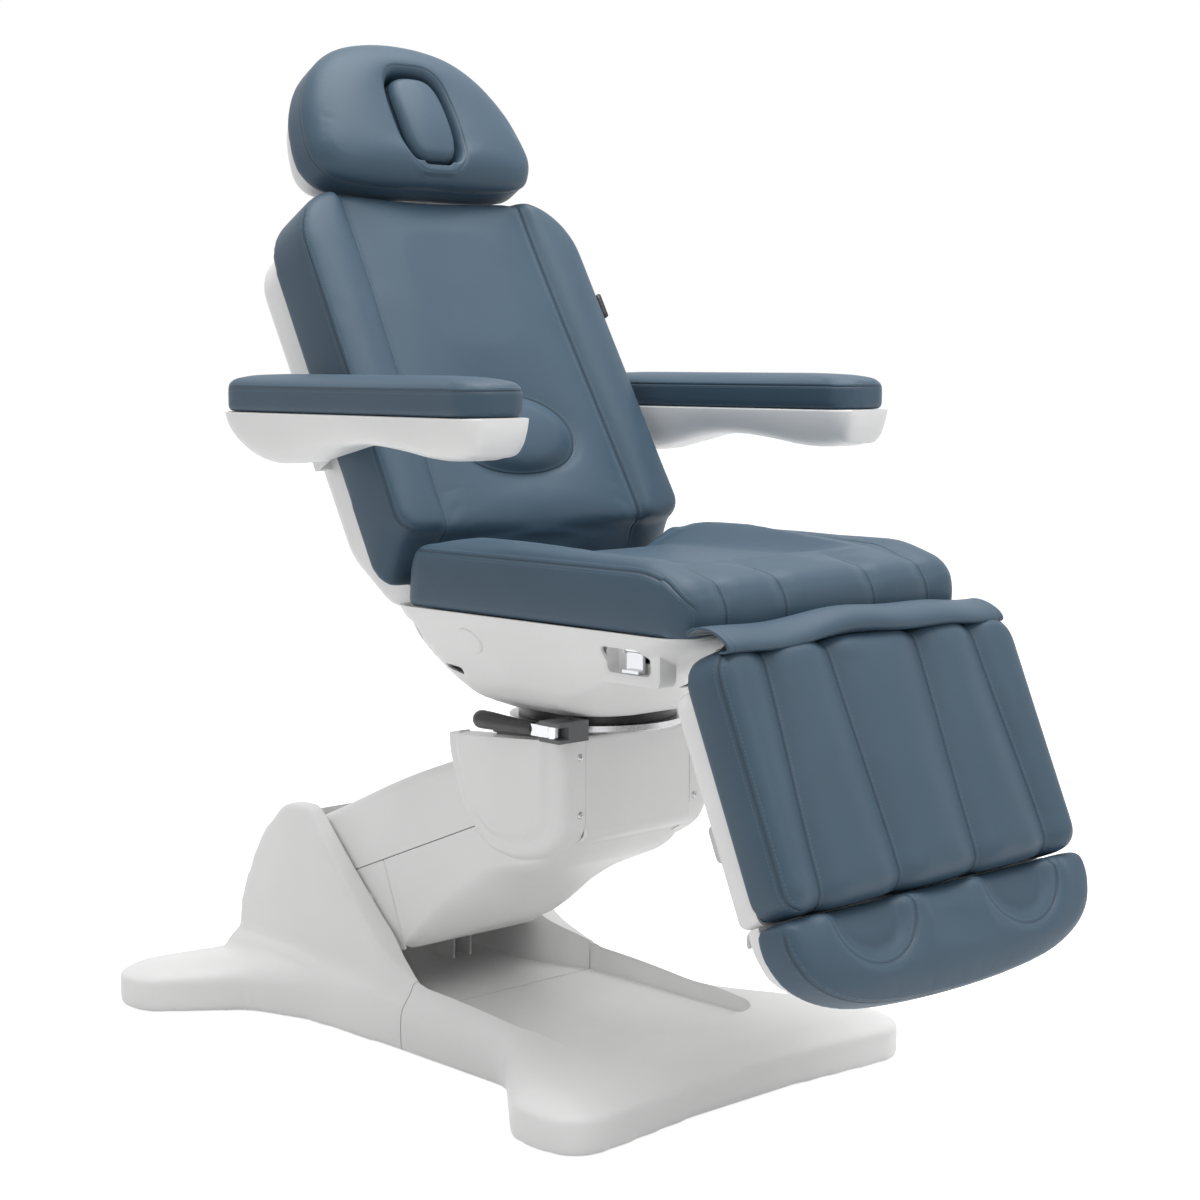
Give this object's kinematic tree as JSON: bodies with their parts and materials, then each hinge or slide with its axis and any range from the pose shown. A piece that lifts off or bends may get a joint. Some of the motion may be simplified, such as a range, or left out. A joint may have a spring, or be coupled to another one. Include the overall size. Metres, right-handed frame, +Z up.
{
  "type": "treatment table",
  "caption": "Reclining upholstered treatment table on a lift arm: swivelling seat, tilting back with headrest and armrests, hinged leg rest with a sliding foot, moulded floor base.",
  "frame": {"origin": "on the floor under the swivel axis", "axes": "+Z up, -Y the way the sitter faces, +X to the sitter's left"},
  "size_m": [0.792, 1.3976, 1.4776],
  "materials": {
    "upholstery": "satin vinyl",
    "white_shell": "smooth moulded",
    "frame_paint": "powder coat",
    "bright_steel": "brushed",
    "chrome": "polished",
    "black_plastic": "matt",
    "grey_plastic": "satin",
    "rubber": "matt"
  },
  "bodies": {
    "base": {"base_frame": "frame_paint", "front_base_cover": "white_shell", "rear_base_cover": "white_shell", "levelling_feet": "rubber", "control_box": "black_plastic", "mains_inlet": "black_plastic", "arm_pivot_shaft": "bright_steel", "link_anchor_shaft": "bright_steel"},
    "lift_arm": {"lift_arm_frame": "frame_paint", "arm_upper_cover": "white_shell", "arm_lower_cover": "white_shell"},
    "lift_links": {"lift_link_right": "frame_paint", "lift_link_left": "frame_paint"},
    "lift_drive": {"lift_motor": "black_plastic"},
    "lift_rod": {"lift_rod": "bright_steel"},
    "head": {"head_frame": "frame_paint", "head_front_cover": "white_shell", "head_side_cover_right": "white_shell", "head_side_cover_left": "white_shell", "head_cover_screws": "bright_steel", "turntable_plate": "bright_steel", "clamp_block": "bright_steel", "head_pivot_shaft": "bright_steel", "link_head_shaft": "bright_steel"},
    "brake_lever": {"brake_lever_fork": "chrome", "brake_lever_grip": "black_plastic"},
    "seat": {"swivel_drum": "black_plastic", "seat_frame": "frame_paint", "seat_pan": "white_shell", "seat_cushion": "upholstery", "pan_caps": "grey_plastic", "back_hinge_pins": "bright_steel", "leg_hinge_pins": "bright_steel", "back_motor": "black_plastic", "leg_motor": "black_plastic", "latch_blocks": "white_shell", "leg_flap": "upholstery"},
    "back_rod": {"back_drive_rod": "bright_steel"},
    "leg_rod": {"leg_drive_rod": "bright_steel"},
    "latch_right": {"latch_right": "chrome"},
    "latch_left": {"latch_left": "chrome"},
    "back": {"back_frame": "frame_paint", "back_shell": "white_shell", "back_cushion": "upholstery", "armrest_stays": "frame_paint"},
    "headrest_slide": {"headrest_bracket": "bright_steel"},
    "headrest": {"headrest_shell": "white_shell", "headrest_cushion": "upholstery"},
    "plug": {"face_plug": "upholstery"},
    "armrest_right": {"armrest_shell_right": "white_shell", "armrest_pad_right": "upholstery"},
    "armrest_left": {"armrest_shell_left": "white_shell", "armrest_pad_left": "upholstery"},
    "leg": {"leg_frame": "frame_paint", "leg_shell": "white_shell", "leg_cushion": "upholstery"},
    "foot": {"foot_slide_bars": "bright_steel", "foot_shell": "white_shell", "foot_cushion": "upholstery"},
    "foot_release": {"foot_release_paddle": "grey_plastic"}
  },
  "joints": [
    {"name": "lift", "type": "hinge", "parent": "base", "child": "lift_arm", "pos_m": [0, 0.48, 0.215], "axis": [-1, 0, 0], "range_deg": [-16, 18]},
    {"name": "lift_link_swing", "type": "hinge", "parent": "base", "child": "lift_links", "pos_m": [0, 0.42, 0.165], "axis": [-1, 0, 0], "range_deg": [-16, 18]},
    {"name": "lift_drive_swing", "type": "hinge", "parent": "base", "child": "lift_drive", "pos_m": [0, 0.42, 0.165], "axis": [-1, 0, 0], "range_deg": [-17, 19.1]},
    {"name": "lift_rod_travel", "type": "slide", "parent": "lift_drive", "child": "lift_rod", "axis": [0, -0.8635, 0.5044], "range_m": [-0.021, 0.0235]},
    {"name": "head_level", "type": "hinge", "parent": "lift_arm", "child": "head", "pos_m": [0, 0.0421, 0.38573], "axis": [-1, 0, 0], "range_deg": [-18, 16]},
    {"name": "swivel", "type": "hinge", "parent": "head", "child": "seat", "pos_m": [0, 0, 0.5], "axis": [0, 0, 1], "range_deg": [-110, 110]},
    {"name": "brake_lever_turn", "type": "hinge", "parent": "head", "child": "brake_lever", "pos_m": [-0.16, -0.086, 0.497], "axis": [0, 0, 1], "range_deg": [0, 30]},
    {"name": "back_recline", "type": "hinge", "parent": "seat", "child": "back", "pos_m": [0, 0.135, 0.64], "axis": [1, 0, 0], "range_deg": [-60.8, 8]},
    {"name": "back_rod_travel", "type": "slide", "parent": "seat", "child": "back_rod", "axis": [0, 1, 0], "range_m": [-0.0515, 0.007]},
    {"name": "leg_lift", "type": "hinge", "parent": "seat", "child": "leg", "pos_m": [0, -0.435, 0.652], "axis": [1, 0, 0], "range_deg": [-66.8, 8]},
    {"name": "leg_rod_travel", "type": "slide", "parent": "seat", "child": "leg_rod", "axis": [0, 1, 0], "range_m": [-0.0732, 0.0089]},
    {"name": "latch_right_turn", "type": "hinge", "parent": "seat", "child": "latch_right", "pos_m": [-0.224, -0.311, 0.636], "axis": [0, 1, 0], "range_deg": [0, 30]},
    {"name": "latch_left_turn", "type": "hinge", "parent": "seat", "child": "latch_left", "pos_m": [0.224, -0.311, 0.636], "axis": [0, -1, 0], "range_deg": [0, 30]},
    {"name": "headrest_height", "type": "slide", "parent": "back", "child": "headrest_slide", "axis": [0, 0.4879, 0.8729], "range_m": [0, 0.07]},
    {"name": "headrest_tilt", "type": "hinge", "parent": "headrest_slide", "child": "headrest", "pos_m": [0, 0.49781, 1.22768], "axis": [1, 0, 0], "range_deg": [-35, 2]},
    {"name": "face_plug_lift", "type": "slide", "parent": "headrest", "child": "plug", "axis": [0, -0.8729, 0.4879], "range_m": [0, 0.06]},
    {"name": "armrest_right_turn", "type": "hinge", "parent": "back", "child": "armrest_right", "pos_m": [0, 0.24536, 0.87846], "axis": [1, 0, 0], "range_deg": [-70, 61]},
    {"name": "armrest_left_turn", "type": "hinge", "parent": "back", "child": "armrest_left", "pos_m": [0, 0.24536, 0.87846], "axis": [1, 0, 0], "range_deg": [-70, 61]},
    {"name": "foot_extend", "type": "slide", "parent": "leg", "child": "foot", "axis": [0, -0.3939, -0.9191], "range_m": [0, 0.14]},
    {"name": "foot_release_pull", "type": "hinge", "parent": "leg", "child": "foot_release", "pos_m": [0, -0.47558, 0.44309], "axis": [1, 0, 0], "range_deg": [0, 14], "stiffness_Nm_per_rad": 0.6, "springref_deg": -5.73}
  ],
  "couplings": [
    {"joint": "lift_link_swing", "follows": "lift", "ratio": 1},
    {"joint": "head_level", "follows": "lift", "ratio": -1},
    {"joint": "lift_drive_swing", "follows": "lift", "ratio": 1.056},
    {"joint": "lift_rod_travel", "follows": "lift", "m_per_rad": 0.0734},
    {"joint": "back_rod_travel", "follows": "back_recline", "m_per_rad": 0.0483},
    {"joint": "leg_rod_travel", "follows": "leg_lift", "m_per_rad": 0.0626}
  ]
}
